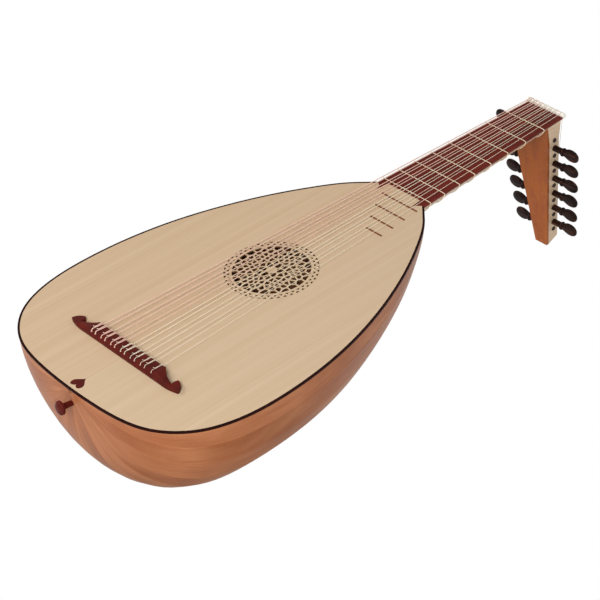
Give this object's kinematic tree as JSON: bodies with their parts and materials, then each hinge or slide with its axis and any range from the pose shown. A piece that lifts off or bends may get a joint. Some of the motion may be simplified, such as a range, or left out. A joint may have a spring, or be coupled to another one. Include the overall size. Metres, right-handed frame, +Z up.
{
  "type": "renaissance lute",
  "caption": "Renaissance lute with a ribbed round back, pierced rose, bent-back pegbox with turning pegs and sliding gut frets.",
  "frame": {"origin": "centre of the bounding box's bottom face: the instrument lies on its back on the bowl and the pegbox's tip", "axes": "+X along the strings from the tail to the nut, +Y to the bass side, +Z up, out of the soundboard"},
  "size_m": [0.7182, 0.3212, 0.1886],
  "materials": {
    "spruce_top": "satin, fine straight grain",
    "inner_spruce": "raw",
    "binding_dark": "satin",
    "rosewood": "oiled",
    "fret_wood": "satin",
    "maple": "satin varnish",
    "cherry_back": "satin varnish",
    "cherry_ribs": "satin varnish",
    "bone": "polished",
    "fret_gut": "matt",
    "peg_ebony": "polished",
    "string_plain": "translucent",
    "string_bass": "satin"
  },
  "bodies": {
    "lute": {"soundboard": "spruce_top", "edge_binding": "binding_dark", "heart_inlay": "rosewood", "bridge": "rosewood", "body_frets": "fret_wood", "soundboard_bars": "inner_spruce", "tail_block": "inner_spruce", "neck_block": "inner_spruce", "neck": "maple", "fingerboard": "rosewood", "nut": "bone", "pegbox_wall_bass": "maple", "pegbox_wall_treble": "maple", "pegbox_back": "cherry_back", "pegbox_tip_block": "maple", "strap_button": "rosewood", "rib_01": "cherry_ribs", "rib_02": "cherry_ribs", "rib_03": "cherry_ribs", "rib_04": "cherry_ribs", "rib_05": "cherry_ribs", "rib_06": "cherry_ribs", "rib_07": "cherry_ribs", "rib_08": "cherry_ribs", "rib_09": "cherry_ribs", "rib_10": "cherry_ribs", "rib_11": "cherry_ribs", "rib_12": "cherry_ribs", "rib_13": "cherry_ribs", "rib_14": "cherry_ribs", "rib_15": "cherry_ribs", "strings_course_1": "string_plain", "strings_course_2": "string_plain", "strings_course_3": "string_plain", "strings_course_4": "string_plain", "strings_course_5": "string_bass", "strings_course_6": "string_bass", "strings_course_7": "string_bass"},
    "peg_01": {"peg_01": "peg_ebony"},
    "peg_02": {"peg_02": "peg_ebony"},
    "peg_03": {"peg_03": "peg_ebony"},
    "peg_04": {"peg_04": "peg_ebony"},
    "peg_05": {"peg_05": "peg_ebony"},
    "peg_06": {"peg_06": "peg_ebony"},
    "peg_07": {"peg_07": "peg_ebony"},
    "peg_08": {"peg_08": "peg_ebony"},
    "peg_09": {"peg_09": "peg_ebony"},
    "peg_10": {"peg_10": "peg_ebony"},
    "peg_11": {"peg_11": "peg_ebony"},
    "peg_12": {"peg_12": "peg_ebony"},
    "peg_13": {"peg_13": "peg_ebony"},
    "tied_fret_1": {"tied_fret_1": "fret_gut"},
    "tied_fret_2": {"tied_fret_2": "fret_gut"},
    "tied_fret_3": {"tied_fret_3": "fret_gut"},
    "tied_fret_4": {"tied_fret_4": "fret_gut"},
    "tied_fret_5": {"tied_fret_5": "fret_gut"},
    "tied_fret_6": {"tied_fret_6": "fret_gut"},
    "tied_fret_7": {"tied_fret_7": "fret_gut"},
    "tied_fret_8": {"tied_fret_8": "fret_gut"}
  },
  "joints": [
    {"name": "peg_01_turn", "type": "hinge", "parent": "lute", "child": "peg_01", "pos_m": [0.32325, 0.0269, 0.15929], "axis": [0, 1, 0], "continuous": true},
    {"name": "peg_02_turn", "type": "hinge", "parent": "lute", "child": "peg_02", "pos_m": [0.32543, -0.02559, 0.14784], "axis": [0, -1, 0], "continuous": true},
    {"name": "peg_03_turn", "type": "hinge", "parent": "lute", "child": "peg_03", "pos_m": [0.32761, 0.02429, 0.1364], "axis": [0, 1, 0], "continuous": true},
    {"name": "peg_04_turn", "type": "hinge", "parent": "lute", "child": "peg_04", "pos_m": [0.32979, -0.02299, 0.12495], "axis": [0, -1, 0], "continuous": true},
    {"name": "peg_05_turn", "type": "hinge", "parent": "lute", "child": "peg_05", "pos_m": [0.33197, 0.02168, 0.11351], "axis": [0, 1, 0], "continuous": true},
    {"name": "peg_06_turn", "type": "hinge", "parent": "lute", "child": "peg_06", "pos_m": [0.33415, -0.02038, 0.10207], "axis": [0, -1, 0], "continuous": true},
    {"name": "peg_07_turn", "type": "hinge", "parent": "lute", "child": "peg_07", "pos_m": [0.33634, 0.01907, 0.09062], "axis": [0, 1, 0], "continuous": true},
    {"name": "peg_08_turn", "type": "hinge", "parent": "lute", "child": "peg_08", "pos_m": [0.33852, -0.01777, 0.07918], "axis": [0, -1, 0], "continuous": true},
    {"name": "peg_09_turn", "type": "hinge", "parent": "lute", "child": "peg_09", "pos_m": [0.3407, 0.01646, 0.06773], "axis": [0, 1, 0], "continuous": true},
    {"name": "peg_10_turn", "type": "hinge", "parent": "lute", "child": "peg_10", "pos_m": [0.34288, -0.01516, 0.05629], "axis": [0, -1, 0], "continuous": true},
    {"name": "peg_11_turn", "type": "hinge", "parent": "lute", "child": "peg_11", "pos_m": [0.34506, 0.01385, 0.04485], "axis": [0, 1, 0], "continuous": true},
    {"name": "peg_12_turn", "type": "hinge", "parent": "lute", "child": "peg_12", "pos_m": [0.34724, -0.01255, 0.0334], "axis": [0, -1, 0], "continuous": true},
    {"name": "peg_13_turn", "type": "hinge", "parent": "lute", "child": "peg_13", "pos_m": [0.34943, 0.01124, 0.02196], "axis": [0, 1, 0], "continuous": true},
    {"name": "tied_fret_1_slide", "type": "slide", "parent": "lute", "child": "tied_fret_1", "axis": [0.998, 0, 0.0628], "range_m": [-0.003, 0.003]},
    {"name": "tied_fret_2_slide", "type": "slide", "parent": "lute", "child": "tied_fret_2", "axis": [0.998, 0, 0.0628], "range_m": [-0.003, 0.003]},
    {"name": "tied_fret_3_slide", "type": "slide", "parent": "lute", "child": "tied_fret_3", "axis": [0.998, 0, 0.0628], "range_m": [-0.003, 0.003]},
    {"name": "tied_fret_4_slide", "type": "slide", "parent": "lute", "child": "tied_fret_4", "axis": [0.998, 0, 0.0628], "range_m": [-0.003, 0.003]},
    {"name": "tied_fret_5_slide", "type": "slide", "parent": "lute", "child": "tied_fret_5", "axis": [0.998, 0, 0.0628], "range_m": [-0.003, 0.003]},
    {"name": "tied_fret_6_slide", "type": "slide", "parent": "lute", "child": "tied_fret_6", "axis": [0.998, 0, 0.0628], "range_m": [-0.003, 0.003]},
    {"name": "tied_fret_7_slide", "type": "slide", "parent": "lute", "child": "tied_fret_7", "axis": [0.998, 0, 0.0628], "range_m": [-0.003, 0.003]},
    {"name": "tied_fret_8_slide", "type": "slide", "parent": "lute", "child": "tied_fret_8", "axis": [0.998, 0, 0.0628], "range_m": [-0.003, 0.003]}
  ]
}
